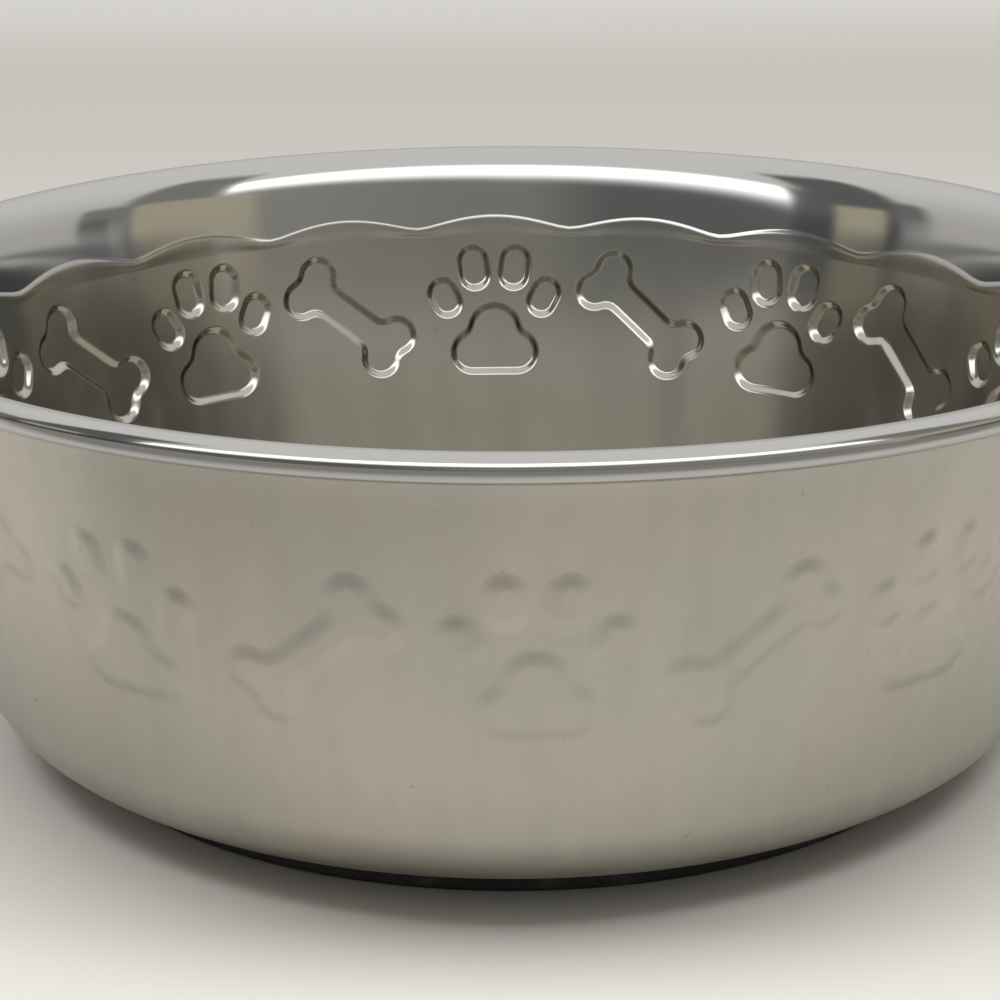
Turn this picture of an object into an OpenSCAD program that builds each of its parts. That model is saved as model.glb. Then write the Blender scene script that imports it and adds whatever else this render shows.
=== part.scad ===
// Low round feeding bowl pressed from one steel sheet, standing on a rubber ring.
// Millimetres, +Z up, the floor at z = 0 and the axis of the bowl on Z.

/* [Bowl] */
// Diameter over the curled rim
rim_d = 160; // [150:1:190]
// Height of the pressed bowl, from its base to the top of the rim
bowl_h = 53; // [48:1:70]
// Diameter of the body across its bottom corner
base_d = 133; // [118:1:138]
// Outside radius of the bottom corner
corner_r = 10; // [7:0.5:13]
// Thickness of the steel sheet
sheet_t = 0.7; // [0.5:0.05:0.9]
// How far the middle of the base is pressed down
boss_drop = 1.4; // [1.2:0.1:2]
// Outside radius of the bends round the middle of the base
boss_bend_r = 1; // [0.8:0.1:1.1]

/* [Rim] */
// Diameter of the curl that hems the edge
curl_d = 3.2; // [2.8:0.1:4.2]
// Inside radius of the roll between the wall and the curl
roll_r = 5; // [4.5:0.1:7]
// Depth of the smooth shoulder, from the top of the rim to its crease
shoulder_h = 9.5; // [8:0.1:12]
// Lean of the shoulder from upright, in degrees
shoulder_lean = 4; // [1:0.5:7]

/* [Pressed relief] */
// How far the relief is pressed out of the wall
relief = 0.8; // [0.4:0.05:1.2]
// Depth of the middle of the relief below the top of the rim
relief_drop = 23.5; // [22:0.5:26]
// Number of paws round the wall, with a bone after each
pair_count = 10; // [6:1:10]
// Turn of the first paw round the bowl, in degrees
first_turn = -88; // [-180:1:180]
// Height of a paw print
paw_h = 19; // [14:0.5:20]
// Length of a bone
bone_l = 20; // [14:0.5:21]
// Width across the knobs of a bone
bone_w = 9.2; // [7:0.1:10]
// Radius of the knobs of a bone
knob_r = 2.5; // [2:0.1:2.8]
// Width of the shaft of a bone
shaft_w = 4.2; // [3:0.1:4.6]
// Tilt of a bone from level, in degrees
bone_tilt = 40; // [25:1:60]

/* [Rubber ring] */
// Height of the ring
ring_h = 3; // [2.4:0.1:4.5]
// Width of the ring's band
ring_w = 7; // [5:0.5:9]
// Radius on the edges of the ring
ring_edge_r = 0.6; // [0.3:0.1:0.9]
// How far the ring stays inside the edge of the flat base
ring_inset = 0.5; // [0:0.1:1.5]
// Clearance between the ring and the middle of the base
ring_fit = 0.2; // [0.1:0.05:0.4]
// Clearance between the top of the ring and the base above it
seat_gap = 0.1; // [0.05:0.05:0.3]

/* [Hidden] */

// Steps round a full turn, and the angle of one step on a section's bends
$fn = 144;
bend_step = 7.5;

// How far a cutting or joining shape runs past what it meets
overrun = 1;

// Heights above the floor
base_z = ring_h + seat_gap;
rim_z = base_z + bowl_h;
curl_z = rim_z - curl_d / 2;
roll_z = rim_z - roll_r;
crease_z = rim_z - shoulder_h;
corner_z = base_z + corner_r;
relief_z = rim_z - relief_drop;

// Radii from the axis
curl_c = rim_d / 2 - curl_d / 2;
flat_r = base_d / 2 - corner_r;
ring_out_r = flat_r - ring_inset;
ring_in_r = ring_out_r - ring_w;
boss_r = ring_in_r - ring_fit;

// The shoulder's lower end, on the outside of the sheet
shoulder_n = [cos(shoulder_lean), -sin(shoulder_lean)];
shoulder_top = [curl_c, roll_z] - (roll_r - sheet_t) * shoulder_n;
crease = [
    shoulder_top[0] - (shoulder_top[1] - crease_z) * tan(shoulder_lean),
    crease_z
];

// The wall runs straight from the crease and meets the corner's arc smoothly
crease_run = crease - [flat_r, corner_z];
wall_lean = acos(corner_r / norm(crease_run)) - atan2(crease_run[1], crease_run[0]);
wall_n = [cos(wall_lean), -sin(wall_lean)];
crease_in = crease - sheet_t * (shoulder_n + wall_n) / (1 + shoulder_n * wall_n);

// The curl stops short of the sheet that it is wound from
curl_end = -180;

// Radius of the outside of the wall at a height between the corner and the crease
function wall_r(z) = crease[0] - (crease_z - z) * tan(wall_lean);

// Points along an arc, with one point for each step of the bend
function arc(centre, r, from, to) =
    let (n = ceil(abs(to - from) / bend_step))
    [for (i = [0:n]) let (a = from + (to - from) * i / n) centre + r * [cos(a), sin(a)]];

// The section of the sheet: out along its underside, round the curl and back along its top
function sheet_section() = concat(
    [[0, base_z - boss_drop]],
    arc([boss_r - boss_bend_r, base_z - boss_drop + boss_bend_r], boss_bend_r, -90, 0),
    [[boss_r, base_z]],
    arc([flat_r, corner_z], corner_r, -90, -wall_lean),
    [crease],
    arc([curl_c, roll_z], roll_r - sheet_t, 180 - shoulder_lean, 90),
    arc([curl_c, curl_z], curl_d / 2 - sheet_t, 90, curl_end),
    arc([curl_c, curl_z], curl_d / 2, curl_end, 90),
    arc([curl_c, roll_z], roll_r, 90, 180 - shoulder_lean),
    [crease_in],
    arc([flat_r, corner_z], corner_r - sheet_t, -wall_lean, -90),
    arc([boss_r - sheet_t + boss_bend_r, base_z + sheet_t - boss_bend_r], boss_bend_r, 90, 180),
    [[boss_r - sheet_t, base_z - boss_drop + sheet_t]],
    [[0, base_z - boss_drop + sheet_t]]
);

// A band that follows the wall, between two distances out from its outer face
module wall_band(from, to) {
    low_z = corner_z;
    high_z = crease_z;
    rotate_extrude()
        polygon([
            [wall_r(low_z), low_z] + from * wall_n,
            [wall_r(low_z), low_z] + to * wall_n,
            [wall_r(high_z), high_z] + to * wall_n,
            [wall_r(high_z), high_z] + from * wall_n
        ]);
}

// Places of a paw's toes and of the lobes of its pad, as shares of its height:
// across, up, radius, and half the length of a long toe
toe_shares = [
    [-0.39, 0.11, 0.1, 0.045],
    [-0.16, 0.34, 0.105, 0.055],
    [0.16, 0.34, 0.105, 0.055],
    [0.39, 0.11, 0.1, 0.045]
];
toe_turns = [28, 8, -8, -28];
lobe_shares = [
    [-0.17, -0.325, 0.155],
    [0.17, -0.325, 0.155],
    [0, -0.15, 0.19]
];

// A long spot with round ends, standing up from its middle
module long_spot(r, half_l) {
    square([2 * r, 2 * half_l], center = true);
    for (side = [-1, 1])
        translate([0, side * half_l])
            circle(r);
}

// Paw print: four toes over a pad of three lobes, all grown by one distance
module paw_outline(grow) {
    for (i = [0:len(toe_shares) - 1])
        translate(paw_h * [toe_shares[i][0], toe_shares[i][1]])
            rotate(toe_turns[i])
                long_spot(paw_h * toe_shares[i][2] + grow, paw_h * toe_shares[i][3]);
    for (lobe = lobe_shares)
        translate(paw_h * [lobe[0], lobe[1]])
            circle(paw_h * lobe[2] + grow);
    low_edge = paw_h * (lobe_shares[0][1] - lobe_shares[0][2]) - grow;
    half_w = paw_h * lobe_shares[1][0];
    translate([-half_w, low_edge])
        square([2 * half_w, paw_h * (lobe_shares[2][1] - lobe_shares[0][1] + lobe_shares[0][2]) + grow]);
}

// Bone: a shaft with two round knobs at each end, all grown by one distance
module bone_outline(grow) {
    knob_x = bone_l / 2 - knob_r;
    knob_y = bone_w / 2 - knob_r;
    rotate(bone_tilt) {
        square([2 * knob_x, shaft_w + 2 * grow], center = true);
        for (x = [-knob_x, knob_x], y = [-knob_y, knob_y])
            translate([x, y])
                circle(knob_r + grow);
    }
}

// Stands an outline on the wall and runs it through the sheet
module through_wall(turn) {
    reach = relief + sheet_t + 2 * overrun;
    rotate([0, 0, turn])
        translate([wall_r(relief_z), 0, relief_z])
            rotate([0, 90 + wall_lean, 0])
                rotate([0, 0, 90])
                    translate([0, 0, -sheet_t - overrun])
                        linear_extrude(reach)
                            children();
}

// Every paw and bone round the wall, grown by one distance
module relief_shapes(grow) {
    pair_turn = 360 / pair_count;
    for (i = [0:pair_count - 1]) {
        through_wall(first_turn + i * pair_turn)
            paw_outline(grow);
        through_wall(first_turn + (i + 0.5) * pair_turn)
            bone_outline(grow);
    }
}

// Pressed steel bowl with a curled rim and relief that stands out of its wall
module bowl() {
    color("silver")
        difference() {
            union() {
                rotate_extrude()
                    polygon(sheet_section());
                intersection() {
                    wall_band(-sheet_t / 2, relief);
                    relief_shapes(sheet_t);
                }
            }
            intersection() {
                wall_band(-sheet_t - overrun, relief - sheet_t);
                relief_shapes(0);
            }
        }
}

// Rubber ring that the bowl stands on, held round the middle of the base
module ring() {
    color("#222222")
        rotate_extrude()
            translate([ring_in_r, 0]) {
                translate([ring_edge_r, 0])
                    square([ring_w - 2 * ring_edge_r, ring_h]);
                translate([0, ring_edge_r])
                    square([ring_w, ring_h - 2 * ring_edge_r]);
                for (x = [ring_edge_r, ring_w - ring_edge_r], y = [ring_edge_r, ring_h - ring_edge_r])
                    translate([x, y])
                        circle(ring_edge_r);
            }
}

bowl();
ring();
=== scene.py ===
"""Low round feeding bowl of pressed steel on a rubber ring, in a pale studio.

The file is laid out as an add-on and run as a script. Lengths are in metres, the floor is at z = 0 and
the axis of the bowl is Z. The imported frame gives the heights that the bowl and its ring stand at.
"""
from functools import reduce
from math import acos, atan2, copysign, cos, pi, radians, sin, sqrt, tan, tau

import bmesh
import bpy
from mathutils import Matrix, Vector


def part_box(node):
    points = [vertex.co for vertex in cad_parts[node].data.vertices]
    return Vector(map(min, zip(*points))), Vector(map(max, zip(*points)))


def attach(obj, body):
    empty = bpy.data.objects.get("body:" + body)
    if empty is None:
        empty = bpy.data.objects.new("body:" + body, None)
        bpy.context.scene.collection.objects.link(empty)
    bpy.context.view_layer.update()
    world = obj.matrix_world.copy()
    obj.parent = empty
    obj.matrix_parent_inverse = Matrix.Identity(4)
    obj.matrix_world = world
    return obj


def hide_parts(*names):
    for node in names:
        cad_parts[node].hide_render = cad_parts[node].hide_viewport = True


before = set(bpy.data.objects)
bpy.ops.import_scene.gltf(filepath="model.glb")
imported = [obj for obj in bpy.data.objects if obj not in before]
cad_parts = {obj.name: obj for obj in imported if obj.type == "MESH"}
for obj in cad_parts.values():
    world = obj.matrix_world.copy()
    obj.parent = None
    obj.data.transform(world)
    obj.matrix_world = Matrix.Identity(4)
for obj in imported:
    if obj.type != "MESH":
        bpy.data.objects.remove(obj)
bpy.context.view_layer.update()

bl_info = {
    "name": "Feeding bowl",
    "version": (1, 0, 0),
    "blender": (4, 5, 0),
    "location": "3D View > Sidebar > Feeding bowl",
    "description": "Builds a pressed steel feeding bowl, its rubber ring and a pale studio",
    "category": "Object",
}

MM = 0.001
BOWL_LOW, BOWL_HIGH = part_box("bowl")
RIM_D = 2 * min(-BOWL_LOW.x, -BOWL_LOW.y, BOWL_HIGH.x, BOWL_HIGH.y)
RING_LOW, RING_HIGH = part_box("ring")

# Places in the list of the bowl's materials
SATIN, POLISHED, INSIDE = range(3)

# Mark that the sloping faces of the relief carry while the flat ones are cut
SLOPE = 1


def length(name, description, default):
    """A length that a user can set, given in millimetres and kept in metres"""
    return bpy.props.FloatProperty(
        name=name, description=description, default=default * MM, min=0, unit="LENGTH", precision=5)


def angle(name, description, degrees):
    """An angle that a user can set, given in degrees"""
    return bpy.props.FloatProperty(
        name=name, description=description, default=radians(degrees), subtype="ANGLE")


def share(name, description, default, most=1.0):
    """A plain number that a user can set"""
    return bpy.props.FloatProperty(
        name=name, description=description, default=default, min=0, max=most, subtype="FACTOR")


def count(name, description, default):
    """A whole number that a user can set"""
    return bpy.props.IntProperty(name=name, description=description, default=default, min=3)


def colour(name, description, default):
    """A linear colour that a user can set"""
    return bpy.props.FloatVectorProperty(
        name=name, description=description, default=default, size=3, min=0, max=1, subtype="COLOR")


class BowlSizes(bpy.types.PropertyGroup):
    """Sizes of the pressed sheet"""

    rim_d: length("Rim diameter", "Diameter over the curled rim", RIM_D / MM)
    rim_z: length("Rim height", "Height of the top of the rim above the floor", BOWL_HIGH.z / MM)
    base_d: length("Body diameter", "Diameter of the body across its bottom corner", 133)
    corner_r: length("Corner radius", "Outside radius of the bottom corner", 10)
    sheet: length("Sheet", "Thickness of the steel sheet", 0.7)
    boss_drop: length("Base step", "How far the middle of the base is pressed down", 1.4)
    boss_bend_r: length("Step radius", "Outside radius of the bends round that middle", 1)
    ring_fit: length("Ring fit", "Clearance between the ring and that middle", 0.2)
    curl_d: length("Curl", "Diameter of the curl that hems the edge", 3.2)
    roll_r: length("Roll radius", "Inside radius between the wall and the curl", 5)
    shoulder_h: length("Shoulder", "Depth of the shoulder's outside below the rim", 9.5)
    shoulder_lean: angle("Shoulder lean", "Lean of the shoulder from upright, which places the wall", 4)
    crease_drop: length("Crease drop", "How far below that the crease inside lies", 1.8)
    end_lean: angle("End lean", "Lean of the shoulder's curve at the crease", 12)
    fullness: share("Fullness", "Power of the roll's curve, where 2 gives an ellipse", 5, most=8)
    ledge: length("Ledge", "Height of the small step where the shoulder ends", 0.085)
    ledge_w: length("Ledge width", "Width of the sloping face of that step", 0.6)
    arc_rise: length("Arc rise", "How far the step climbs above each figure", 1.7)
    columns: count("Columns", "Faces round the bowl for each pair of figures", 30)


class ReliefSizes(bpy.types.PropertyGroup):
    """Sizes of the paws and bones pressed out of the wall"""

    relief_out: length("Outer relief", "How far the figures stand out of the wall outside", 0.34)
    relief_in: length("Inner relief", "How deep the figures are pressed into the wall inside", 0.7)
    drop: length("Drop", "Depth of the middle of the figures below the rim", 23.5)
    pairs: count("Pairs", "Number of paws round the wall, with a bone after each", 10)
    first_turn: angle("First turn", "Turn of the first paw round the bowl", -88)
    paw_h: length("Paw height", "Height of a paw print", 19)
    bone_l: length("Bone length", "Length of a bone", 20)
    bone_w: length("Bone width", "Width across the knobs of a bone", 9.2)
    knob_r: length("Knob radius", "Radius of the knobs of a bone", 2.5)
    shaft_w: length("Shaft width", "Width of the shaft of a bone", 4.2)
    bone_tilt: angle("Bone tilt", "Tilt of a bone from level", 40)
    blend_r: length("Blend radius", "Radius in the hollows of an outline", 2)
    band_h: length("Band height", "Height of the band of wall that holds the figures", 22.2)
    slope_out: length("Outer slope", "Width of the figures' slope outside", 2.3)
    slope_in: length("Inner slope", "Width of the figures' slope inside", 1.3)
    foot: length("Foot", "How far the foot of a slope lies outside the outline", 0.76)
    slope_rings: count("Slope rings", "Rows of faces down the slope of a figure", 5)
    spacing: length("Spacing", "Distance between points along an outline", 0.6)
    row: length("Row", "Height of the rows that the plain wall is cut into", 6)


class SteelFinish(bpy.types.PropertyGroup):
    """Colours and polish of the steel"""

    satin_tint: colour("Outside tint", "Colour of the satin outside", (0.67, 0.64, 0.57))
    polished_tint: colour("Rim tint", "Colour of the polished rim", (0.68, 0.67, 0.65))
    inside_tint: colour("Inside tint", "Colour of the inside wall", (0.6, 0.582, 0.527))
    satin_rough: share("Outside roughness", "Roughness of the satin outside", 0.34)
    polished_rough: share("Rim roughness", "Roughness of the polished rim", 0.09)
    inside_rough: share("Inside roughness", "Roughness of the inside wall", 0.15)


class RingFinish(bpy.types.PropertyGroup):
    """Colour and texture of the rubber ring"""

    edge_r: length("Edge radius", "Radius on the edges of the ring", 0.6)
    steps: count("Steps", "Faces round the ring", 240)
    tint: colour("Colour", "Colour of the rubber", (0.025, 0.025, 0.026))
    rough: share("Roughness", "Roughness of the rubber", 0.62)


class StageSettings(bpy.types.PropertyGroup):
    """Camera, floor and light. Ahead is the camera's side of the bowl"""

    lens: bpy.props.FloatProperty(name="Lens", description="Focal length in millimetres", default=90)
    reach: length("Camera distance", "From the camera to the middle of the rim", 303.9)
    rise: angle("Camera elevation", "Height of the camera over the rim's middle", 12.75)
    tilt: angle("Camera tilt", "How far the camera looks down", 18.198)
    turn: angle("Camera turn", "How far the camera looks to the right", -0.267)
    roll: angle("Camera roll", "How far the camera leans to the left", -0.181)
    floor_tint: colour("Floor", "Colour of the floor", (0.825, 0.805, 0.767))
    # Painted shade: the floor behind the bowl is given a darker colour in place of the light falling
    # off there
    back_shade_tint: colour("Back of the floor", "Colour of the floor behind the bowl", (0.6, 0.582, 0.542))
    fade_near: length("Fade start", "Where the floor starts to fade into the surroundings", 850)
    fade_far: length("Fade end", "Where it has faded into them", 1700)
    # Painted shade: how bright the floor looks in the steel's reflections, darkened ahead of the bowl
    # in place of a shadow over the floor on the camera's side
    painted_shade_near: length("Dimming start", "Where the floor's reflection starts to dim", 90)
    painted_shade_far: length("Dimming end", "Where the floor's reflection is dimmest", 190)
    close_shaded_share: share("Near floor", "Share of the floor's light that the steel reflects", 0.72)
    far_shaded_share: share("Far floor", "The same for the floor far off ahead", 0.3)
    air_tint: colour("Surroundings", "Light from overhead", (0.74, 0.735, 0.72))
    wall_tint: colour("Walls", "Light from low down behind the bowl", (0.5, 0.49, 0.465))
    dusk_tint: colour("Dusk", "Light from low down ahead", (0.23, 0.23, 0.215))
    deep_tint: colour("Deep dusk", "The same after a second reflection", (0.07, 0.075, 0.085))
    again_tint: colour("Ahead again", "High light ahead, after a second reflection", (0.13, 0.13, 0.11))
    shade_tint: colour("Shade", "Low light behind, after a second reflection", (0.32, 0.32, 0.33))
    sill_tint: colour("Sill", "Low bright patch, after a second reflection", (0.55, 0.505, 0.4))
    patch_tint: colour("Patches", "Low warm patches at the sides", (0.44, 0.405, 0.31))
    air_share: share("Soft share", "Share of the surroundings' light on the floor", 0.46)
    low_share: share("Low share", "The same for light from low down ahead", 0.17)
    panel_level: share("Panel level", "Brightness of the panel ahead", 2.1, most=10)
    panel_again: share("Panel again", "Share of it in a second reflection", 0.04)
    panel_low: angle("Panel low edge", "Height of its lower edge straight ahead", 30)
    panel_tilt: share("Panel tilt", "How far its edges climb to the right", 0.22)
    panel_high: angle("Panel high edge", "Height of its upper edge straight ahead", 49)
    panel_left: angle("Panel left edge", "Turn to its left edge", 61)
    panel_right: angle("Panel right edge", "Turn to its right edge", 63)
    lamp_level: share("Lamp level", "Brightness of the lamp overhead", 7.35, most=100)


def polar(turn, reach=1.0):
    """Point at an angle and a distance from the origin of a plane"""
    return Vector((cos(turn), sin(turn))) * reach


def ease(done):
    """Smooth step from 0 to 1"""
    t = min(max(done, 0.0), 1.0)
    return t * t * (3 - 2 * t)


def arc(centre, radius, start, end, steps):
    """Points along an arc in a plane, both ends included. Angles are in radians"""
    return [centre + polar(start + (end - start) * i / steps, radius) for i in range(steps + 1)]


class Section:
    """Places on the section of the sheet, as points of radius and height"""

    def __init__(self, sizes, relief):
        self.sheet = sizes.sheet
        self.curl = Vector((sizes.rim_d - sizes.curl_d, 2 * sizes.rim_z - sizes.curl_d)) / 2
        self.roll = Vector((self.curl.x, sizes.rim_z - sizes.roll_r))
        self.base_z = BOWL_LOW.z + sizes.boss_drop
        self.corner = Vector((sizes.base_d / 2 - sizes.corner_r, self.base_z + sizes.corner_r))
        lean = sizes.shoulder_lean
        shoulder_out = Vector((cos(lean), -sin(lean)))
        top = self.roll - (sizes.roll_r - sizes.sheet) * shoulder_out
        crease_z = sizes.rim_z - sizes.shoulder_h
        self.crease = Vector((top.x - (top.y - crease_z) * tan(lean), crease_z))
        run = self.crease - self.corner
        self.wall_lean = acos(sizes.corner_r / run.length) - atan2(run.y, run.x)
        self.wall_out = Vector((cos(self.wall_lean), -sin(self.wall_lean)))
        self.wall_up = Vector((sin(self.wall_lean), cos(self.wall_lean)))
        meet = (shoulder_out + self.wall_out) / (1 + shoulder_out.dot(self.wall_out))
        self.crease_in = self.crease - sizes.sheet * meet - sizes.crease_drop * self.wall_up
        self.rim_z = sizes.rim_z
        self.depth = self.rim_z - self.crease_in.y
        self.end_slope = tan(sizes.end_lean)
        self.roll_w = self.curl.x - self.crease_in.x - self.depth * self.end_slope
        self.fullness = sizes.fullness
        middle_z = sizes.rim_z - relief.drop
        down = (self.crease.y - middle_z) / cos(self.wall_lean)
        self.band = self.crease - self.wall_up * down

    def band_point(self, up, depth):
        """Point of the wall, up from the figures' middle and in from the outer face"""
        return self.band + self.wall_up * up - self.wall_out * depth

    def roll_point(self, down, under=0.0):
        """Point of the roll and the shoulder, down from the rim and under their face"""
        left = 1 - down / self.depth
        root = sqrt(max(1 - left ** self.fullness, 0))
        place = Vector((self.curl.x - self.roll_w * root - down * self.end_slope, self.rim_z - down))
        fall = 2 * self.depth * root
        run = self.fullness * self.roll_w * left ** (self.fullness - 1) + fall * self.end_slope
        return place + Vector((fall, -run)).normalized() * under

    def inner_r(self, z):
        """Radius of the inner face at a height above the bottom corner"""
        if z > self.crease_in.y:
            return self.roll_point(self.rim_z - z).x
        return self.crease_in.x + (z - self.crease_in.y) * self.wall_up.x / self.wall_up.y


def run_on(line, points, steps):
    """Carries a line on to some points, with even steps on the way to the first"""
    line += [line[-1].lerp(points[0], i / steps) for i in range(1, steps)] + points


# How parts of the mesh are turned round the bowl's axis
ROUND_AXIS = {"cent": (0, 0, 0), "axis": (0, 0, 1), "dvec": (0, 0, 0), "use_merge": False,
              "use_normal_flip": False}


def spin_rows(bm, points, start, turn, steps, finish):
    """Turns a line of points of radius and height round the axis, with one finish all over"""
    corners = [bm.verts.new((*polar(start, p.x), p.y)) for p in points]
    line = [bm.edges.new(pair) for pair in zip(corners, corners[1:])]
    before = set(bm.faces)
    bmesh.ops.spin(
        bm, geom=corners + line, angle=turn, steps=steps, use_duplicate=False, **ROUND_AXIS)
    for face in set(bm.faces) - before:
        face.material_index = finish


def repeat_round(bm, times):
    """Copies one sector round the axis until the turn is full, and joins the copies"""
    bmesh.ops.spin(
        bm, geom=bm.verts[:] + bm.edges[:] + bm.faces[:], angle=tau * (times - 1) / times,
        steps=times - 1, use_duplicate=True, **ROUND_AXIS)
    edge = [v for v in bm.verts if v.is_boundary]
    bmesh.ops.remove_doubles(bm, verts=edge, dist=0.005 * MM)


def smooth_outwards(bm):
    """Turns the faces of a closed form outwards and shades them smooth"""
    bmesh.ops.recalc_face_normals(bm, faces=bm.faces)
    for face in bm.faces:
        face.smooth = True


def mesh_of(bm, name):
    """Mesh made of what a bmesh holds, which is then freed"""
    mesh = bpy.data.meshes.new(name)
    bm.to_mesh(mesh)
    bm.free()
    return mesh


def add_loop(bm, points):
    """Closed loop of edges through flat or raised points"""
    corners = [bm.verts.new(p) for p in points]
    return [bm.edges.new(pair) for pair in zip(corners, corners[1:] + corners[:1])]


def hollow_centre(a, a_r, b, b_r, blend_r):
    """Centre of the hollow that blends two round lobes, on the right of the way from a to b"""
    gap = b - a
    ahead = (gap.length_squared + (a_r + blend_r) ** 2 - (b_r + blend_r) ** 2) / (2 * gap.length)
    aside = sqrt((a_r + blend_r) ** 2 - ahead ** 2)
    along = gap.normalized()
    return a + along * ahead + Vector((along.y, -along.x)) * aside


def heading(a, b):
    """Angle of the way from one point of a plane to another"""
    return atan2(b.y - a.y, b.x - a.x)


def toe_outline(middle, radius, half_l, turn):
    """Arcs round a long toe: centre, radius, start and end angle of each"""
    reach = polar(turn + pi / 2, half_l)
    return [
        (middle + reach, radius, turn, turn + pi),
        (middle - reach, radius, turn + pi, turn + tau),
    ]


def pad_outline(relief):
    """Arcs round the pad of a paw: two low lobes and a large one above them"""
    size = relief.paw_h
    low, low_r = Vector((0.17, -0.325)) * size, 0.155 * size
    top, top_r = Vector((0, -0.15)) * size, 0.19 * size
    right = hollow_centre(low, low_r, top, top_r, relief.blend_r)
    left = Vector((-right.x, right.y))
    far_low = Vector((-low.x, low.y))
    turn_low = heading(low, right)
    turn_top = heading(top, right)
    return [
        (low, low_r, -pi / 2, turn_low),
        (right, relief.blend_r, turn_low + pi, turn_top + pi),
        (top, top_r, turn_top, pi - turn_top),
        (left, relief.blend_r, -turn_top, -turn_low),
        (far_low, low_r, pi - turn_low, pi * 1.5),
    ]


def bone_outline(relief):
    """Arcs round a bone with two knobs at each end of a straight shaft"""
    knob = Vector((relief.bone_l / 2 - relief.knob_r, relief.bone_w / 2 - relief.knob_r))
    knob_r, blend_r = relief.knob_r, relief.blend_r
    rise = relief.shaft_w / 2 + blend_r
    back = sqrt((knob_r + blend_r) ** 2 - (rise - knob.y) ** 2)
    side = Vector((knob.x - back, rise))
    notch = Vector((knob.x + sqrt((knob_r + blend_r) ** 2 - knob.y ** 2), 0))
    from_notch = heading(knob, notch)
    to_side = heading(knob, side)
    half = [
        (notch, blend_r, pi - from_notch, pi + from_notch),
        (knob, knob_r, from_notch, to_side),
        (side, blend_r, to_side - pi, -pi / 2),
        (Vector((-side.x, side.y)), blend_r, -pi / 2, -to_side),
        (Vector((-knob.x, knob.y)), knob_r, pi - to_side, pi - from_notch),
    ]
    whole = half + [(-c, r, a + pi, b + pi) for c, r, a, b in half]
    lean = Matrix.Rotation(relief.bone_tilt, 2)
    return [(lean @ c, r, a + relief.bone_tilt, b + relief.bone_tilt) for c, r, a, b in whole]


def paw_outlines(relief):
    """Outlines of a paw print: four toes and the pad"""
    # Across, up, radius and half length as shares of the paw's height, and the turn in degrees
    toes = ((-0.39, 0.11, 0.1, 0.045, 28), (-0.16, 0.34, 0.105, 0.055, 8),
            (0.16, 0.34, 0.105, 0.055, -8), (0.39, 0.11, 0.1, 0.045, -28))
    size = relief.paw_h
    return [toe_outline(Vector((x, y)) * size, r * size, half_l * size, radians(turn))
            for x, y, r, half_l, turn in toes] + [pad_outline(relief)]


def outline_points(arcs, grow, spacing):
    """Points along an outline grown by a distance, which doesn't change their number"""
    def place(one, turn, by):
        centre, radius, start, end = one
        return centre + polar(turn, radius + by * copysign(1, end - start))

    points = []
    for one, after in zip(arcs, arcs[1:] + arcs[:1]):
        start, end = one[2:]
        steps = max(2, round(abs(end - start) * one[1] / spacing))
        points += [place(one, start + (end - start) * i / steps, grow) for i in range(steps)]
        gap = (place(after, after[2], 0) - place(one, end, 0)).length
        if gap > spacing / 2:
            cuts = max(1, round(gap / spacing / 2))
            last = place(one, end, grow)
            points += [last.lerp(place(after, after[2], grow), i / cuts) for i in range(cuts)]
    return points


def press_outline(bm, arcs, middle, relief, height, slope, radius_at):
    """Slope and flat top of one pressed outline, in the flat. Gives the edges of its foot"""
    loops = []
    for ring in range(relief.slope_rings + 1):
        done = ring / relief.slope_rings
        points = outline_points(arcs, min(slope / 2, relief.foot) - slope * done, relief.spacing)
        loops.append(add_loop(bm, [
            (middle + p.x * radius_at(0) / radius_at(p.y), p.y, height * ease(done))
            for p in points]))
    before = set(bm.faces)
    for foot, head in zip(loops, loops[1:]):
        bmesh.ops.bridge_loops(bm, edges=foot + head)
    for face in set(bm.faces) - before:
        face.material_index = SLOPE
    bmesh.ops.triangle_fill(
        bm, use_beauty=True, use_dissolve=False, edges=loops[-1], normal=(0, 0, 1))
    return loops[0]


def cut_flats(bm, places, direction):
    """Cuts the flat faces at each place along a direction"""
    for at in places:
        flats = [f for f in bm.faces if f.material_index != SLOPE]
        edges = {e for f in flats for e in f.edges}
        corners = {v for f in flats for v in f.verts}
        bmesh.ops.bisect_plane(
            bm, geom=[*corners, *edges, *flats], dist=0.02 * MM, plane_co=direction * at,
            plane_no=direction)


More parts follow.
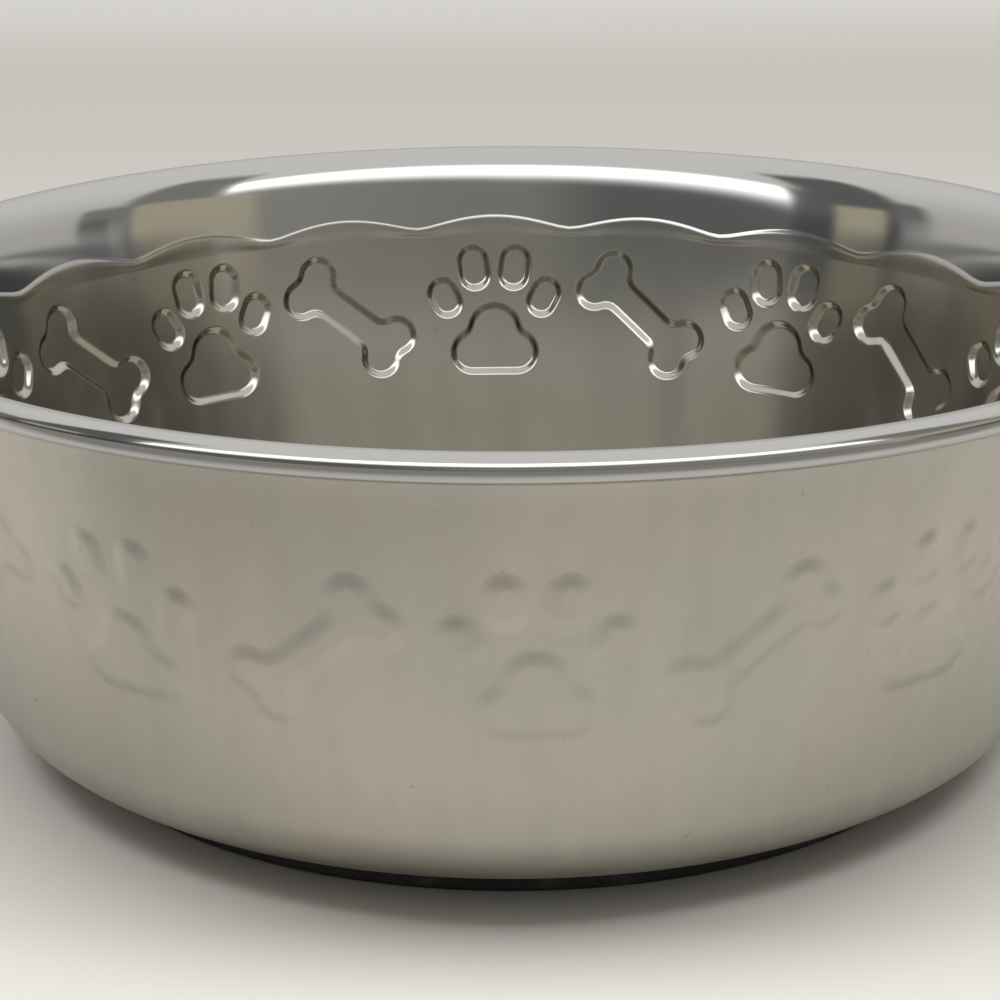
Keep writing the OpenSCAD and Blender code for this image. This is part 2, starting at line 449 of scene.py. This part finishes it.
def band_sector(section, sizes, relief, depth, height, slope):
    """Mesh of one pair of figures on the band of wall that carries them, on one face"""
    sector_turn = tau / relief.pairs
    radius = section.band_point(0, depth).x

    def radius_at(up):
        return section.band_point(up, depth).x

    bm = bmesh.new()
    width = radius * sector_turn
    half_h = relief.band_h / 2
    step = width / sizes.columns
    rows = round(relief.band_h / relief.row)
    row_h = relief.band_h / rows
    border = [(i * step, -half_h, 0) for i in range(sizes.columns)]
    border += [(width, -half_h + i * row_h, 0) for i in range(rows)]
    edges = add_loop(bm, border + [(width - x, -y, 0) for x, y, _ in border])
    figures = [(arcs, width / 4) for arcs in paw_outlines(relief)]
    figures.append((bone_outline(relief), width * 3 / 4))
    for arcs, middle in figures:
        edges += press_outline(bm, arcs, middle, relief, height, slope, radius_at)
    bmesh.ops.triangle_fill(bm, use_beauty=True, use_dissolve=False, edges=edges, normal=(0, 0, 1))
    cut_flats(bm, [i * step for i in range(1, sizes.columns)], Vector((1, 0, 0)))
    cut_flats(bm, [-half_h + i * row_h for i in range(1, rows)], Vector((0, 1, 0)))
    wide = [f for f in bm.faces if len(f.verts) > 4]
    bmesh.ops.triangulate(bm, faces=wide, quad_method="BEAUTY", ngon_method="BEAUTY")
    start = relief.first_turn - sector_turn / 4
    for corner in bm.verts:
        at = section.band_point(corner.co.y, depth) + section.wall_out * corner.co.z
        corner.co = (*polar(start + corner.co.x / radius, at.x), at.y)
    for face in bm.faces:
        face.material_index = SATIN if depth == 0 else INSIDE
    return mesh_of(bm, "band")


def raise_ledge(shell, section, sizes, relief):
    """Lifts the small step at the shoulder's end into arcs above the figures"""
    pitch = pi / relief.pairs
    # Rounds the arcs where one meets the next
    low_round = 0.04
    least, most = sqrt(low_round), sqrt(1 + low_round)
    top_z = section.roll.y
    low_z = section.band_point(relief.band_h / 2, section.sheet).y
    crease_z = section.crease_in.y
    for corner in shell.verts:
        z = corner.co.z
        off_face = abs(corner.co.xy.length - section.inner_r(z))
        if not low_z - sizes.sheet < z <= top_z or off_face > sizes.sheet / 3:
            continue
        turn = atan2(corner.co.y, corner.co.x)
        phase = (turn - relief.first_turn) / pitch
        swing = cos(pi * phase) ** 2
        rise = sizes.arc_rise * (sqrt(swing + low_round) - least) / (most - least)
        span = top_z - crease_z if z > crease_z else crease_z - low_z
        away = (abs(z - crease_z) - sizes.ledge_w) / (span - sizes.ledge_w)
        new_z = z + rise * min(max(1 - away, 0), 1)
        below = crease_z + rise - new_z
        run_out = (below - sizes.ledge_w) / (crease_z + rise - low_z - sizes.ledge_w)
        step = sizes.ledge * ease(below / sizes.ledge_w + 0.5) * (1 - ease(run_out))
        corner.co = (*polar(turn, section.inner_r(new_z) - step), new_z)


def wall_normal(section, relief, corner):
    """Normal at a vertex, such that large faces beside a bend or a slope shade evenly"""
    near = 0.01 * MM
    place = Vector((corner.co.xy.length, corner.co.z)) - section.band
    if abs(place.dot(section.wall_up)) > relief.band_h / 2 + near:
        return sum((f.normal * f.calc_area() for f in corner.link_faces), Vector()).normalized()
    inside = corner.link_faces[0].material_index == INSIDE
    away = place.dot(section.wall_out) + section.sheet * inside
    full = relief.relief_in if inside else relief.relief_out
    if near < away < full - near:
        return corner.normal.copy()
    turn = atan2(corner.co.y, corner.co.x)
    flat = Vector((*polar(turn, section.wall_out.x), section.wall_out.y))
    return -flat if inside else flat


def shell_mesh(sizes, relief):
    """Mesh of the pressed bowl, a closed sheet that runs out underneath and back on top"""
    section = Section(sizes, relief)
    turn = tau / relief.pairs
    start = relief.first_turn - turn / 4
    sheet, quarter = sizes.sheet, pi / 2
    half_h = relief.band_h / 2
    wall_lean = section.wall_lean
    boss_r = ring_inner_r() - sizes.ring_fit
    bend_r, base_z, drop = sizes.boss_bend_r, section.base_z, sizes.boss_drop
    bend_steps, corner_steps, curl_steps, ledge_steps = 4, 12, 32, 4

    under = [Vector((0, base_z - drop))]
    bend = Vector((boss_r - bend_r, base_z - drop + bend_r))
    run_on(under, arc(bend, bend_r, -quarter, 0, bend_steps), 3)
    under.append(Vector((boss_r, base_z)))
    run_on(under, arc(section.corner, sizes.corner_r, -quarter, -wall_lean, corner_steps), 2)
    run_on(under, [section.band_point(-half_h, 0)], 2)

    # The satin outside ends behind the curl, so part of the roll's underside belongs to it
    low_rows, satin_rows, top_rows = 14, 7, 34
    roll_low = [section.roll_point(section.depth * (i / low_rows) ** 2, sheet)
                for i in range(low_rows, 0, -1)]
    flank = [section.band_point(half_h, 0)]
    run_on(flank, roll_low[:satin_rows + 1], 2)

    curl_r = sizes.curl_d / 2
    rim = roll_low[satin_rows:] + arc(section.curl, curl_r - sheet, quarter, -pi, 9)
    rim += arc(section.curl, curl_r, -pi, quarter, curl_steps)
    rim += [section.roll_point((section.depth - sizes.ledge_w) * (i / top_rows) ** 2)
            for i in range(1, top_rows + 1)]
    run_on(rim, [section.crease_in], ledge_steps)

    neck = [section.crease_in]
    run_on(neck, [section.crease_in - section.wall_up * sizes.ledge_w], ledge_steps)
    run_on(neck, [section.band_point(half_h, sheet)], 6)

    over = [section.band_point(-half_h, sheet)]
    run_on(over, arc(section.corner, sizes.corner_r - sheet, -wall_lean, -quarter, corner_steps), 2)
    bend = Vector((boss_r - sheet + bend_r, base_z + sheet - bend_r))
    run_on(over, arc(bend, bend_r, quarter, pi, bend_steps), 2)
    floor_z = base_z - drop + sheet
    over.append(Vector((boss_r - sheet, floor_z)))
    run_on(over, [Vector((0, floor_z))], 3)

    shell = bmesh.new()
    finishes = (SATIN, SATIN, POLISHED, INSIDE, INSIDE)
    for points, finish in zip((under, flank, rim, neck, over), finishes):
        spin_rows(shell, points, start, turn, sizes.columns, finish)
    for depth, height, slope in ((0, relief.relief_out, relief.slope_out),
                                 (sheet, relief.relief_in, relief.slope_in)):
        band = band_sector(section, sizes, relief, depth, height, slope)
        shell.from_mesh(band)
        bpy.data.meshes.remove(band)
    edge = [v for v in shell.verts if v.is_boundary]
    bmesh.ops.remove_doubles(shell, verts=edge, dist=0.02 * MM)
    repeat_round(shell, relief.pairs)
    raise_ledge(shell, section, sizes, relief)
    smooth_outwards(shell)
    shell.normal_update()
    normals = [wall_normal(section, relief, v) for v in shell.verts]
    open_edges = sum(not e.is_manifold for e in shell.edges)
    if open_edges:
        raise RuntimeError(f"the pressed sheet has {open_edges} open edges")
    mesh = mesh_of(shell, "pressed_bowl")
    mesh.normals_split_custom_set_from_vertices(normals)
    return mesh


def ring_inner_r():
    """Inner radius of the ring, read from its node's own corners"""
    return min(v.co.xy.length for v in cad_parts["ring"].data.vertices)


class Wiring:
    """Short ways to add nodes to a tree and to join them"""

    def __init__(self, tree):
        self.tree = tree

    def node(self, kind, inputs=(), **settings):
        """A node with its settings and its inputs"""
        made = self.tree.nodes.new(kind)
        for key, value in settings.items():
            setattr(made, key, value)
        self.fill(made, inputs)
        return made

    def fill(self, node, inputs):
        """Sets a node's inputs by name or number. A value is a socket, a number or a colour"""
        for key, value in dict(inputs).items():
            socket = node.inputs[key]
            if isinstance(value, bpy.types.NodeSocket):
                self.tree.links.new(value, socket)
            elif socket.type == "RGBA":
                socket.default_value = (*value, 1.0)
            else:
                socket.default_value = value

    def maths(self, operation, *values):
        """Result of a sum on sockets and numbers"""
        return self.node("ShaderNodeMath", enumerate(values), operation=operation).outputs[0]

    def all_of(self, *masks):
        """Several masks multiplied together"""
        return reduce(lambda one, other: self.maths("MULTIPLY", one, other), masks)

    def any_of(self, *masks):
        """The strongest of several masks"""
        return reduce(lambda one, other: self.maths("MAXIMUM", one, other), masks)

    def range(self, value, low, high, to_low=0.0, to_high=1.0, kind="LINEAR"):
        """A value carried from one range to another, held at its ends"""
        inputs = {"Value": value, "From Min": low, "From Max": high,
                  "To Min": to_low, "To Max": to_high}
        return self.node("ShaderNodeMapRange", inputs, interpolation_type=kind).outputs["Result"]

    def fade(self, value, low, high):
        """Smooth rise from 0 to 1 on a value's way from low to high"""
        return self.range(value, low, high, kind="SMOOTHSTEP")

    def mix(self, factor, a, b, blend="MIX"):
        """Colour mixed from two others"""
        inputs = {"Factor": factor, 6: a, 7: b}
        return self.node("ShaderNodeMix", inputs, data_type="RGBA", blend_type=blend).outputs[2]

    def own_place(self):
        """The object's own coordinates"""
        return self.node("ShaderNodeTexCoord").outputs["Object"]

    def bump(self, height, distance):
        """Normal bent by heights given as shares of a distance"""
        return self.node("ShaderNodeBump", {"Height": height, "Distance": distance}).outputs[0]

    def noise(self, scale, stretch=(1, 1, 1), detail=2.0, roughness=0.5, offset=0.0):
        """Noise over the object's own coordinates, with so many lumps to a metre"""
        made = self.node(
            "ShaderNodeMapping",
            {"Vector": self.own_place(), "Scale": stretch, "Location": [offset] * 3})
        cloud = self.node(
            "ShaderNodeTexNoise",
            {"Vector": made.outputs[0], "Scale": scale, "Detail": detail, "Roughness": roughness})
        return cloud.outputs["Fac"]


def effect(wiring, build, inputs):
    """Outputs of a shared effect. Its node group is made once and named after its function"""
    tree = bpy.data.node_groups.get(build.__name__)
    if not tree:
        tree = bpy.data.node_groups.new(build.__name__, "ShaderNodeTree")
        for socket in inputs:
            tree.interface.new_socket(name=socket, in_out="INPUT", socket_type="NodeSocketFloat")
        within = Wiring(tree)
        results = build(within, within.node("NodeGroupInput").outputs)
        for socket in results:
            tree.interface.new_socket(name=socket, in_out="OUTPUT", socket_type="NodeSocketFloat")
        within.node("NodeGroupOutput", results)
    return wiring.node("ShaderNodeGroup", inputs, node_tree=tree).outputs


def drawn_grain(wiring, given):
    """Faint upright streaks that the drawing die leaves, coarse and fine"""
    coarse = wiring.noise(330, (1, 1, 0.05), detail=3, roughness=0.6)
    fine = wiring.noise(1500, (1, 1, 0.06), detail=2, roughness=0.6, offset=3.1)
    fine_part = wiring.maths("MULTIPLY", fine, given["Fine"])
    return {"Height": wiring.maths("MULTIPLY_ADD", coarse, given["Coarse"], fine_part)}


def sheet_waves(wiring, given):
    """Slow waves left in the sheet by pressing"""
    waves = wiring.noise(34, (1, 1, 0.6), detail=1.5, roughness=0.45, offset=7.7)
    ripples = wiring.noise(130, (1, 1, 0.7), detail=1, roughness=0.5, offset=1.3)
    small_part = wiring.maths("MULTIPLY", ripples, given["Ripples"])
    return {"Height": wiring.maths("MULTIPLY_ADD", waves, given["Waves"], small_part)}


def handling_wear_and_sheen(wiring, given):
    """Cloudy patches, specks, short scratches and upright streaks, each from 0 to 1. The streaks are
    partly wear and partly painted reflection of upright columns
    """
    most = 0.86
    cloud = wiring.noise(38, detail=3, roughness=0.55, offset=2.2)
    dots = wiring.noise(620, detail=1, roughness=0.4, offset=5.5)
    lines = wiring.noise(240, (1, 1, 0.11), detail=1.5, roughness=0.4, offset=9.1)
    streaks = wiring.noise(200, (1, 1, 0.05), detail=4, roughness=0.66, offset=6.6)
    return {
        "Cloud": wiring.fade(cloud, 0.35, 0.68),
        "Specks": wiring.fade(dots, given["Speck Level"], most),
        "Scratches": wiring.fade(lines, given["Scratch Level"], most),
        "Streaks": wiring.range(streaks, 0.3, 0.7),
    }


def new_material(name):
    """Material with nodes, the wiring of its tree, and its shader"""
    made = bpy.data.materials.new(name)
    made.use_nodes = True
    return made, Wiring(made.node_tree), made.node_tree.nodes["Principled BSDF"]


def steel_material(name, tint, rough, grain, waves, wear, warm=0.02, turned=0.0, streak_sheen=0.0):
    """Steel with drawn grain, pressing waves, wear, and upright streaks that are partly wear and partly
    painted reflection.

    grain and waves are heights in millimetres, coarse and fine. wear is how dark the marks are.
    warm and streaky are how far patches and streaks change the colour, as shares of it.
    turned is how far the polish, which runs round the bowl, stretches reflections up and down.
    """
    mark_share = 0.45
    least_rough, most_rough, quarter_turn = rough * 0.9, rough * 1.12, 0.25
    made, wiring, shader = new_material(name)
    grained = effect(wiring, drawn_grain, {"Coarse": grain[0], "Fine": grain[1]})
    waved = effect(wiring, sheet_waves, {"Waves": waves[0], "Ripples": waves[1]})
    wear_and_sheen = effect(wiring, handling_wear_and_sheen, {"Speck Level": 0.76, "Scratch Level": 0.78})
    red, green, blue = tint
    pinkish = (red * (1 + warm), green * (1 - warm / 2), blue * (1 - warm))
    greenish = (red * (1 - warm), green * (1 + warm / 2), blue * (1 - warm / 2))
    # Upright streaks that lighten and darken the colour: partly wear, partly painted reflection of
    # upright columns
    streak_and_sheen = wiring.range(wear_and_sheen["Streaks"], 0, 1, 1 - streak_sheen, 1 + streak_sheen)
    body = wiring.mix(1.0, wiring.mix(wear_and_sheen["Cloud"], pinkish, greenish), streak_and_sheen, blend="MULTIPLY")
    marked = wiring.all_of(wiring.any_of(wear_and_sheen["Specks"], wear_and_sheen["Scratches"]), wear)
    wiring.fill(shader, {
        "Base Color": wiring.mix(marked, body, [c * mark_share for c in tint]),
        "Metallic": 1.0,
        "Roughness": wiring.range(wear_and_sheen["Cloud"], 0, 1, least_rough, most_rough),
        "Normal": wiring.bump(wiring.maths("ADD", grained[0], waved[0]), MM),
    })
    if turned:
        round_about = wiring.node(
            "ShaderNodeVectorMath", {0: (0, 0, 1), 1: wiring.own_place()}, operation="CROSS_PRODUCT")
        wiring.fill(shader, {
            "Tangent": round_about.outputs[0],
            "Anisotropic": turned,
            "Anisotropic Rotation": quarter_turn,
        })
    return made


def rubber_material(finish):
    """Matt black rubber with a fine pebble and a little dust"""
    pebble_h = 0.06 * MM
    smoothest, roughest = finish.rough - 0.06, finish.rough + 0.1
    dusty_tint = [c * 2.2 + 0.01 for c in finish.tint]
    made, wiring, shader = new_material("black_rubber")
    pebble = wiring.noise(2600, detail=2, roughness=0.6)
    dust = wiring.fade(wiring.noise(160, detail=3, roughness=0.65, offset=4.0), 0.5, 0.75)
    wiring.fill(shader, {
        "Base Color": wiring.mix(dust, finish.tint, dusty_tint),
        "Roughness": wiring.range(pebble, 0.2, 0.8, smoothest, roughest),
        "Normal": wiring.bump(pebble, pebble_h),
    })
    return made


def add_piece(name, mesh, materials):
    """Object for a finished mesh, at the origin"""
    made = bpy.data.objects.new(name, mesh)
    bpy.context.scene.collection.objects.link(made)
    for material in materials:
        mesh.materials.append(material)
    return made


class FEEDING_BOWL_OT_press_shell(bpy.types.Operator):
    """Press the steel bowl with its relief, and give it its finishes"""

    bl_idname = "feeding_bowl.press_shell"
    bl_label = "Press the bowl"
    bl_options = {"REGISTER", "UNDO"}

    def execute(self, context):
        scene = context.scene
        finish = scene.bowl_steel
        materials = [
            steel_material(
                "satin_steel", finish.satin_tint, finish.satin_rough, grain=(0.0016, 0.0006),
                waves=(0.11, 0.01), wear=0.5, turned=0.6, streak_sheen=0.04),
            steel_material(
                "polished_steel", finish.polished_tint, finish.polished_rough, grain=(0.0, 0.0),
                waves=(0.02, 0.002), wear=0.1, warm=0.0),
            steel_material(
                "inside_steel", finish.inside_tint, finish.inside_rough, grain=(0.0006, 0.0002),
                waves=(0.14, 0.008), wear=0.3, warm=0.012, turned=0.7, streak_sheen=0.03),
        ]
        bowl = add_piece("pressed_bowl", shell_mesh(scene.bowl_sizes, scene.bowl_relief), materials)
        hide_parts("bowl")
        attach(bowl, "bowl")
        return {"FINISHED"}


class FEEDING_BOWL_OT_mould_ring(bpy.types.Operator):
    """Mould the rubber ring that the bowl stands on"""

    bl_idname = "feeding_bowl.mould_ring"
    bl_label = "Mould the ring"
    bl_options = {"REGISTER", "UNDO"}

    def execute(self, context):
        finish = context.scene.bowl_ring
        edge_r, quarter = finish.edge_r, pi / 2
        inner, outer = ring_inner_r() + edge_r, RING_HIGH.x - edge_r
        bottom, top = RING_LOW.z + edge_r, RING_HIGH.z - edge_r
        centres = ((inner, bottom), (outer, bottom), (outer, top), (inner, top))
        points = []
        for centre, turns in zip(centres, (2, -1, 0, 1)):
            points += arc(Vector(centre), edge_r, turns * quarter, (turns + 1) * quarter, 6)
        bm = bmesh.new()
        spin_rows(bm, points + points[:1], 0, tau / 4, finish.steps // 4, 0)
        bmesh.ops.remove_doubles(bm, verts=bm.verts, dist=0.001 * MM)
        repeat_round(bm, 4)
        smooth_outwards(bm)
        ring = add_piece("rubber_ring", mesh_of(bm, "rubber_ring"), [rubber_material(finish)])
        even = ring.modifiers.new("even_shading", "WEIGHTED_NORMAL")
        even.mode = "FACE_AREA"
        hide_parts("ring")
        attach(ring, "ring")
        return {"FINISHED"}


def floor_material(settings):
    """Plain pale floor that the camera sees fade into the surroundings.

    The steel's reflections see it through painted shade, darkest far off ahead, standing in for a
    shadow over the floor on the camera's side.
    Behind the bowl it is darker, which is painted shade standing in for the light falling off.
    """
    middle = (25 * MM, 0, 0)
    made, wiring, shader = new_material("pale_floor")
    where = wiring.own_place()
    y = wiring.node("ShaderNodeSeparateXYZ", {"Vector": where}).outputs["Y"]
    path = wiring.node("ShaderNodeLightPath").outputs
    # Painted shade that only the steel's reflections see: the floor darkens away from the bowl's middle
    # and ahead of it, in place of a shadow over the floor on the camera's side
    off = wiring.node("ShaderNodeVectorMath", {0: where, 1: middle}, operation="DISTANCE")
    shade_off_middle = wiring.fade(off.outputs["Value"], settings.painted_shade_near, settings.painted_shade_far)
    far = wiring.all_of(shade_off_middle, wiring.fade(y, -40 * MM, -100 * MM))
    dim = wiring.range(far, 0, 1, settings.close_shaded_share, settings.far_shaded_share)
    level = wiring.mix(path["Is Glossy Ray"], (1, 1, 1), dim)
    # Painted shade behind the bowl: the floor is darker from about 0.05 m to 0.8 m back, in place of
    # the light falling off
    behind = wiring.all_of(wiring.fade(y, 0.05, 0.4), wiring.fade(y, 0.8, 0.5))
    tint = wiring.mix(behind, settings.floor_tint, settings.back_shade_tint)
    wiring.fill(shader, {
        "Base Color": wiring.mix(1.0, tint, level, blend="MULTIPLY"),
        "Roughness": 0.8,
        "Specular IOR Level": 0.2,
    })
    away = wiring.node("ShaderNodeVectorMath", {0: where}, operation="LENGTH").outputs["Value"]
    faded = wiring.fade(away, settings.fade_near, settings.fade_far)
    gone = wiring.all_of(path["Is Camera Ray"], faded)
    haze = wiring.node("ShaderNodeEmission", {"Color": settings.air_tint})
    blend = wiring.node("ShaderNodeMixShader", {0: gone, 1: shader.outputs[0], 2: haze.outputs[0]})
    wiring.fill(made.node_tree.nodes["Material Output"], {"Surface": blend.outputs[0]})
    return made


class Directions(Wiring):
    """Wiring of the surroundings, with masks from 0 to 1 over directions of light.

    Ahead is the camera's side. Heights run from 0 for level to 1 for straight up. Turns are in degrees
    from straight ahead, more to the right.
    """

    def __init__(self, tree):
        super().__init__(tree)
        where = self.node("ShaderNodeTexCoord").outputs["Generated"]
        self.x, self.y, self.z = self.node("ShaderNodeSeparateXYZ", {"Vector": where}).outputs
        self.ahead = self.maths("MULTIPLY", self.y, -1.0)
        self.aside = self.maths("DIVIDE", self.x, self.ahead)
        self.in_front = self.range(self.ahead, 0.0, 0.01)
        self.path = self.node("ShaderNodeLightPath").outputs
        self.second = self.range(self.path["Glossy Depth"], 1, 2)
        self.first = self.maths("SUBTRACT", 1.0, self.second)
        # Height where the wall's reflections end and the shoulder's begin
        self.slant = self.maths("MULTIPLY_ADD", self.y, 0.08, self.z)

    def below(self, top, bottom):
        """Directions low down: none above the top height and all below the bottom one"""
        return self.fade(self.z, top, bottom)

    def band(self, value, low, high, edge):
        """Directions where a value lies from low to high, with soft edges"""
        return self.all_of(
            self.fade(value, low - edge, low + edge), self.fade(value, high + edge, high - edge))

    def right_of(self, turn, edge):
        """Directions further to the right than a turn"""
        sine, cosine = sin(radians(turn)), cos(radians(turn))
        side = self.maths("MULTIPLY_ADD", self.x, cosine, self.maths("MULTIPLY", self.y, sine))
        return self.fade(side, -edge, edge)

    def sector(self, left, right, left_edge, right_edge):
        """Directions from one turn to another, with the softness of each edge"""
        past = self.right_of(right, right_edge)
        return self.all_of(self.right_of(left, left_edge), self.maths("SUBTRACT", 1.0, past))


def dusk_masks(at):
    """Where it is dark ahead and at the sides, and where it is darkest"""
    right_share = at.range(at.all_of(at.x, at.first), 0.2, 0.7, 1.0, 0.85)
    front = at.all_of(at.sector(-78, 62, 0.08, 0.1), at.below(0.54, 0.42), right_share)
    right = at.all_of(at.fade(at.x, 0.4, 0.7), at.second, at.below(0.42, 0.28))
    flank = at.all_of(
        at.fade(at.maths("ABSOLUTE", at.aside), 1.9, 2.3), at.fade(at.ahead, 0.0, 0.08),
        at.below(0.82, 0.7), at.first)
    stripe_share, sides_share = 0.4, 0.9
    stripe = at.all_of(at.sector(105, 114, 0.03, 0.03), at.below(0.75, 0.55), stripe_share, at.second)
    post = at.all_of(
        at.sector(84, 98, 0.02, 0.02), at.first, at.below(0.44, 0.34),
        at.range(at.z, 0.08, 0.22, 0.3, 1.0))
    far_post = at.all_of(
        at.sector(-94, -80, 0.04, 0.02), at.first, at.below(0.46, 0.36),
        at.range(at.z, 0.12, 0.24, 0.35, 0.9))
    low_sides = at.all_of(
        at.range(at.y, -0.45, -0.2), at.fade(at.slant, 0.125, 0.108), at.first, sides_share)
    far_left = at.all_of(at.fade(at.aside, -1.2, -2.0), at.below(0.3, 0.15))
    left_front = at.range(at.x, -0.05, -0.35, 0.0, 0.65)
    low_right = at.all_of(low_sides, at.range(at.x, 0.75, 0.9, 0.0, 0.75))
    dark = at.any_of(front, right, flank, stripe, post, far_post, low_sides)
    return dark, at.any_of(at.second, far_left, left_front, low_right)


def panel_mask(at, settings):
    """The bright panel ahead, which a second reflection shows faintly"""
    low_edge, high_edge, side_edge = 0.2, 0.15, 0.05
    climb = at.maths("MAXIMUM", at.aside, 0.0)
    steep = at.maths("MULTIPLY_ADD", climb, -settings.panel_tilt, at.maths("DIVIDE", at.z, at.ahead))
    low_tan, high_tan = tan(settings.panel_low), tan(settings.panel_high)
    return at.all_of(
        at.fade(steep, low_tan - low_edge, low_tan + low_edge),
        at.fade(steep, high_tan + high_edge, high_tan - high_edge),
        at.band(at.aside, -tan(settings.panel_left), tan(settings.panel_right), side_edge),
        at.in_front, at.path["Is Glossy Ray"], at.range(at.second, 0, 1, 1.0, settings.panel_again))


def light_room(world, settings):
    """Surroundings that are palest overhead and darker low down, with a bright panel ahead.

    After a second reflection the steel sees the panel faintly, a dim room and a bright sill low down.
    """
    world.use_nodes = True
    at = Directions(world.node_tree)
    room = at.mix(at.fade(at.z, 0.1, 0.8), settings.wall_tint, settings.air_tint)
    low_again = at.all_of(at.second, at.below(0.42, 0.36))
    dark, deep = dusk_masks(at)
    dusk = at.mix(deep, settings.dusk_tint, settings.deep_tint)
    again_share = 0.9
    again = at.all_of(
        at.second, at.in_front, at.band(at.aside, -1.15, 1.15, 0.1), at.range(at.z, 0.97, 0.87),
        at.range(at.z, 0.36, 0.44), again_share)
    near_patch = at.all_of(at.sector(55, 84, 0.04, 0.015), at.below(0.39, 0.35))
    far_patch = at.all_of(at.sector(-83, -71, 0.015, 0.015), at.below(0.3, 0.26))
    patches = at.all_of(at.any_of(near_patch, far_patch), at.fade(at.slant, 0.108, 0.128), at.first)
    sill = at.all_of(
        at.band(at.z, 0.165, 0.262, 0.012), at.sector(-96, 41, 0.05, 0.02), at.path["Is Glossy Ray"],
        at.second)
    seen = room
    for mask, tint in (
            (low_again, settings.shade_tint),
            (dark, dusk),
            (again, settings.again_tint),
            (patches, settings.patch_tint),
            (sill, settings.sill_tint),
            (panel_mask(at, settings), [settings.panel_level] * 3),
            (at.path["Is Diffuse Ray"], room),
            (at.path["Is Camera Ray"], settings.air_tint)):
        seen = at.mix(mask, seen, tint)
    low = at.all_of(
        at.fade(at.y, -0.05, -0.35), at.fade(at.z, 0.93, 0.7),
        at.fade(at.maths("ABSOLUTE", at.x), 0.7, 0.4))
    soft = at.range(low, 0, 1, settings.air_share, settings.low_share)
    strength = at.range(at.path["Is Diffuse Ray"], 0, 1, 1.0, soft)
    at.fill(world.node_tree.nodes["Background"], {"Color": seen, "Strength": strength})


def add_panel(name, level, place, width, height):
    """Flat lamp that faces the bowl. Its level is the brightness of its face"""
    lamp = bpy.data.lights.new(name, "AREA")
    lamp.shape = "RECTANGLE"
    lamp.size, lamp.size_y = width, height
    lamp.energy = level * pi * width * height
    made = bpy.data.objects.new(name, lamp)
    bpy.context.scene.collection.objects.link(made)
    made.location = place
    facing = Vector((0, place.y, place.z))
    made.rotation_euler = facing.to_track_quat("Z", "Y").to_euler()
    return made


class FEEDING_BOWL_OT_set_stage(bpy.types.Operator):
    """Lay the floor, hang the light and set up the camera"""

    bl_idname = "feeding_bowl.set_stage"
    bl_label = "Set the stage"
    bl_options = {"REGISTER", "UNDO"}

    def execute(self, context):
        scene = context.scene
        settings = scene.bowl_stage
        floor_reach, lamp_place, lamp_size = 5.0, Vector((0, -0.315, 2)), (3.1, 0.6)
        bm = bmesh.new()
        bmesh.ops.create_grid(bm, x_segments=8, y_segments=8, size=floor_reach)
        bmesh.ops.translate(bm, verts=bm.verts, vec=(0, 0, RING_LOW.z))
        floor = add_piece("floor", mesh_of(bm, "floor"), [floor_material(settings)])
        scene.world = bpy.data.worlds.new("room")
        light_room(scene.world, settings)
        lamp = add_panel("overhead_lamp", settings.lamp_level, lamp_place, *lamp_size)
        lamp.visible_glossy = False
        lens = bpy.data.cameras.new("camera")
        lens.sensor_width = 36
        lens.lens = settings.lens
        lens.clip_start = 0.01
        camera = bpy.data.objects.new("camera", lens)
        scene.collection.objects.link(camera)
        rim_middle = Vector((0, 0, scene.bowl_sizes.rim_z))
        back = Vector((0, -cos(settings.rise), sin(settings.rise)))
        camera.matrix_world = (
            Matrix.Translation(rim_middle + back * settings.reach)
            @ Matrix.Rotation(-settings.turn, 4, "Z")
            @ Matrix.Rotation(pi / 2 - settings.tilt, 4, "X")
            @ Matrix.Rotation(settings.roll, 4, "Z"))
        scene.camera = camera
        scene.view_settings.view_transform = "Standard"
        return {"FINISHED"}


class FEEDING_BOWL_PT_panel(bpy.types.Panel):
    """Sizes, finishes and steps of the feeding bowl"""

    bl_idname = "FEEDING_BOWL_PT_panel"
    bl_label = "Feeding bowl"
    bl_space_type = "VIEW_3D"
    bl_region_type = "UI"
    bl_category = "Feeding bowl"

    def draw(self, context):
        for step, groups in STEPS:
            box = self.layout.box()
            for group in groups:
                settings = getattr(context.scene, group)
                for key in settings.__annotations__:
                    box.prop(settings, key)
            box.operator(step.bl_idname)


GROUPS = {
    "bowl_sizes": BowlSizes,
    "bowl_relief": ReliefSizes,
    "bowl_steel": SteelFinish,
    "bowl_ring": RingFinish,
    "bowl_stage": StageSettings,
}
STEPS = (
    (FEEDING_BOWL_OT_press_shell, ("bowl_sizes", "bowl_relief", "bowl_steel")),
    (FEEDING_BOWL_OT_mould_ring, ("bowl_ring",)),
    (FEEDING_BOWL_OT_set_stage, ("bowl_stage",)),
)


def register():
    for group in GROUPS.values():
        bpy.utils.register_class(group)
    for step, _ in STEPS:
        bpy.utils.register_class(step)
    bpy.utils.register_class(FEEDING_BOWL_PT_panel)
    for name, group in GROUPS.items():
        setattr(bpy.types.Scene, name, bpy.props.PointerProperty(type=group))


def unregister():
    for name in GROUPS:
        delattr(bpy.types.Scene, name)
    bpy.utils.unregister_class(FEEDING_BOWL_PT_panel)
    for step, _ in reversed(STEPS):
        bpy.utils.unregister_class(step)
    for group in reversed(GROUPS.values()):
        bpy.utils.unregister_class(group)


def main():
    register()
    bpy.ops.feeding_bowl.press_shell()
    bpy.ops.feeding_bowl.mould_ring()
    bpy.ops.feeding_bowl.set_stage()


if __name__ == "__main__":
    main()
